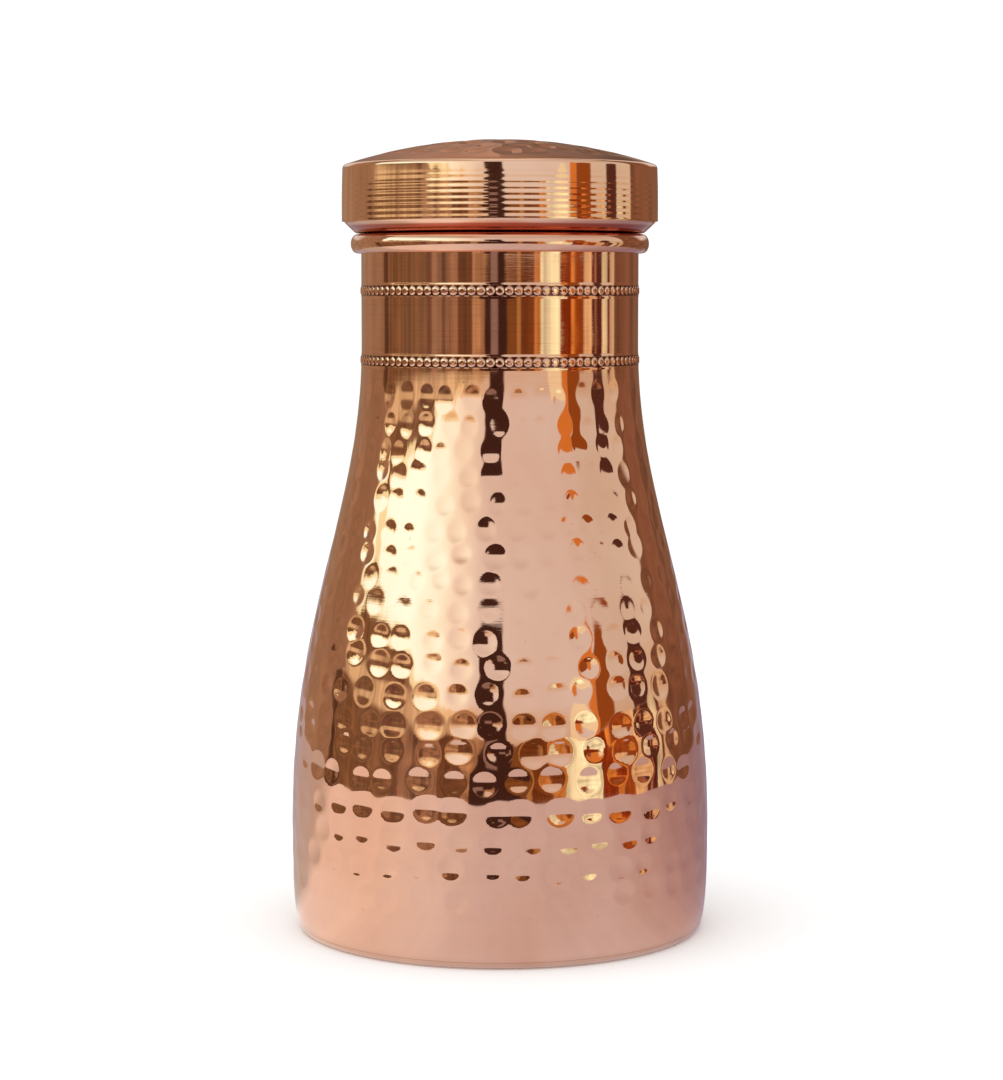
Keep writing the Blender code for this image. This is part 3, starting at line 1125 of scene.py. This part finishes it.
def room_colour(azimuth, height):
    """Radiance of the room's wall: the bright and the low zone in front, and the back."""
    left_edge = np.interp(height, SIDE_EDGE_HEIGHTS, SIDE_EDGE_LEFT)
    left_edge = left_edge + 1.2 * ragged(height * 10, 9)
    front = smooth(azimuth, left_edge - 1, left_edge + 1)
    front = front * (1 - smooth(azimuth, SIDE_EDGE_RIGHT - 1, SIDE_EDGE_RIGHT + 1))

    low = low_colour(azimuth, height)
    left = smooth(-azimuth, 4, 30)
    edge = np.interp(azimuth, *zip(*EDGE)) + (0.008 + 0.022 * left) * ragged(azimuth / 5, 21)
    edge = edge + (0.004 + 0.022 * left) * mottled(azimuth / 3, height * 22, 22)
    veil = 1 - smooth(height, edge + 0.02 + 0.02 * left, edge + 0.25 - 0.15 * left)
    veil = (veil * (0.55 + 0.45 * left))[..., None] * (1 - np.array(VEIL))
    dim = (0.22 + 0.38 * left) * smooth(height, *DIM_HEIGHTS)
    bright = keyed(BRIGHT, azimuth) * (1 - veil) * (1 - dim[..., None] * np.array(DIM))
    above = smooth(height, edge - 0.008, edge + 0.008)
    haze = HAZE * left * between(height, *HAZE_HEIGHTS, 0.03)
    haze = haze * (1 + 0.5 * ragged(azimuth / 4, 61))
    low = blended(low, HAZE_COLOUR, np.clip(haze, 0, 1))
    fronted = blended(low, bright, above)
    for left_side, right_side, top, paint in UPRIGHTS:
        middle, half = (left_side + right_side) / 2, (right_side - left_side) / 2
        half = half * np.clip((top - height) / 0.16, 0, 1) ** 0.5
        share = 1 - smooth(np.abs(azimuth - middle), half - 0.5, half + 0.5)
        share = share * (half > 0.2) * above
        fronted = blended(fronted, paint, share)
    heights, lefts, rights = zip(*STAND)
    sway = 0.5 * ragged(height * 14, 41)
    stand_left = np.interp(height, heights, lefts)
    stand_right = np.interp(height, heights, rights)
    under_top = 1 - smooth(height, heights[-1] - 0.01, heights[-1] + 0.01)
    share = between(azimuth - sway, stand_left, stand_right, 0.6) * under_top
    fronted = blended(fronted, STAND_DARK, share)
    sheen = between(azimuth - sway, *SHEEN_EDGES, 0.5) * between(height, *SHEEN_HEIGHTS, 0.02)
    fronted = blended(fronted, STAND_SHEEN, sheen)
    return blended(back_colour(azimuth, height), fronted, front)


def card(name, points, colours):
    """A surface that only reflections see: a grid of points, with a radiance at each."""
    mesh = bpy.data.meshes.new(name)
    mesh.from_pydata(points.reshape(-1, 3).tolist(), [], grid_faces(*points.shape[:2]))
    attribute = mesh.color_attributes.new("radiance", "FLOAT_COLOR", "POINT")
    colours = colours.reshape(-1, 3)
    values = np.concatenate([colours, np.ones((len(colours), 1))], 1)
    attribute.data.foreach_set("color", values.astype(np.float32).ravel())
    made = bpy.data.materials.new(name)
    made.use_nodes = True
    tree = made.node_tree
    tree.nodes.remove(tree.nodes["Principled BSDF"])
    emission = tree.nodes.new("ShaderNodeEmission")
    emission.inputs["Strength"].default_value = 1.0
    paint = tree.nodes.new("ShaderNodeAttribute")
    paint.attribute_name = "radiance"
    tree.links.new(paint.outputs["Color"], emission.inputs["Color"])
    output = tree.nodes["Material Output"]
    tree.links.new(emission.outputs["Emission"], output.inputs["Surface"])
    made.cycles.emission_sampling = "NONE"
    mesh.materials.append(made)
    item = placed(name, mesh)
    for rays in ("camera", "diffuse", "shadow", "transmission", "volume_scatter"):
        setattr(item, "visible_" + rays, False)


def grid_faces(rows, columns):
    """Faces between the points of a grid, given row by row."""
    i = np.arange(rows - 1)[:, None] * columns + np.arange(columns - 1)[None, :]
    corners = [i, i + 1, i + columns + 1, i + columns]
    return np.stack([c.ravel() for c in corners], 1).tolist()


def build_room():
    """The wall and the ceiling."""
    azimuth = np.linspace(-180, 180, 721)
    height = np.append(np.linspace(ROOM_LOW, -0.22, 12), np.linspace(-0.2, 0.9, 221))
    height = np.append(height, np.linspace(0.93, ROOM_TOP, 30))
    azimuths, heights = np.meshgrid(azimuth, height)
    turn = np.radians(azimuths)
    away = ROOM_R + (ROOM_R_BACK - ROOM_R) * smooth(np.abs(azimuths), *ROOM_BACK_FROM)
    points = np.stack([away * np.sin(turn), -away * np.cos(turn), heights], -1)
    card("room_wall", points, room_colour(azimuths, heights))

    radius = np.linspace(0.0, ROOM_R, 24)
    azimuths, radii = np.meshgrid(azimuth, radius)
    turn = np.radians(azimuths)
    points = np.stack([radii * np.sin(turn), -radii * np.cos(turn), 0 * radii + ROOM_TOP], -1)
    front = 0.5 + 0.5 * np.cos(turn)
    colours = np.stack([0.55 + 0.35 * front, 0.52 + 0.4 * front, 0.50 + 0.4 * front], -1)
    card("room_ceiling", points, colours)


def build_table():
    """The table top as the metal shows it. It ends nearer the bottle at the sides."""
    azimuth = np.linspace(-180, 180, 361)
    share = np.linspace(0, 1, 90) ** 2
    azimuths, shares = np.meshgrid(azimuth, share)
    turn = np.radians(azimuths)
    edge = 0.45 + 0.17 * np.abs(np.cos(turn)) ** 1.5
    near = FOOT_R - FOOT_CORNER - REST_RING_WIDTH
    radii = near + (edge - near) * shares
    points = np.stack([radii * np.sin(turn), -radii * np.cos(turn), 0 * radii - FLOOR_GAP], -1)
    grain = 1 + 0.03 * ragged(azimuths / 7, 31) + 0.02 * ragged(radii * 50, 32)
    shade = 0.85 + 0.15 * smooth(radii, FOOT_R, FOOT_R + 0.004)
    card("table_top", points, keyed(TABLE, azimuths) * grain[..., None] * shade[..., None])


def build_floor():
    """The pale floor that the camera sees."""
    mesh = bpy.data.meshes.new("floor")
    corners = [(-1, -1), (1, -1), (1, 1), (-1, 1)]
    points = [(x * FLOOR_HALF, y * FLOOR_HALF, -FLOOR_GAP) for x, y in corners]
    mesh.from_pydata(points, [], [(0, 1, 2, 3)])
    made = bpy.data.materials.new("floor")
    made.use_nodes = True
    shader = made.node_tree.nodes["Principled BSDF"]
    shader.inputs["Base Color"].default_value = FLOOR_COLOUR
    shader.inputs["Roughness"].default_value = 0.9
    shader.inputs["Specular IOR Level"].default_value = 0.0
    mesh.materials.append(made)
    floor = placed("floor", mesh)
    floor.visible_glossy = False


def build_light():
    """An even white surround, and one wide soft lamp overhead for a faint shadow."""
    world = bpy.data.worlds.new("studio")
    bpy.context.scene.world = world
    world.use_nodes = True
    background = world.node_tree.nodes["Background"]
    background.inputs["Color"].default_value = (1, 1, 1, 1)
    background.inputs["Strength"].default_value = SURROUND_STRENGTH
    lamp = bpy.data.lights.new("overhead", "AREA")
    lamp.shape = "DISK"
    lamp.size = LAMP_SIZE
    lamp.energy = LAMP_POWER
    item = placed("overhead", lamp)
    item.location = LAMP_PLACE
    item.rotation_euler = LAMP_TURN
    item.visible_glossy = False


def build_camera():
    data = bpy.data.cameras.new("camera")
    data.sensor_fit = "VERTICAL"
    data.sensor_height = CAMERA_SENSOR
    data.lens = CAMERA_LENS
    camera = placed("camera", data)
    camera.location = CAMERA_PLACE
    camera.rotation_euler = CAMERA_TURN
    bpy.context.scene.camera = camera


def main():
    bpy.context.scene.view_settings.view_transform = "Standard"
    build_camera()
    build_light()
    build_floor()
    build_room()
    build_table()

    # body=True paints shade in the gaps between the pearls.
    hammered_copper = copper("hammered_copper", COPPER, 0.025, 0.00000016, body=True)
    lid_copper = copper("lid_copper", POLISHED, 0.035, 0.00000030)
    # ledge=True paints shade on the foot of the cone.
    plug_copper = copper("plug_copper", POLISHED, 0.08, 0.00000060, ledge=True)
    plain_copper = copper("turned_copper", POLISHED, 0.10, 0.00000060)
    pits = pit_list()
    build_lower_body(pits, hammered_copper)
    build_upper_body(pits, hammered_copper)
    build_base(plain_copper)
    build_lid_shell(lid_copper)
    build_lid_plug(plug_copper)
    build_seal(silicone("seal_silicone"))


main()
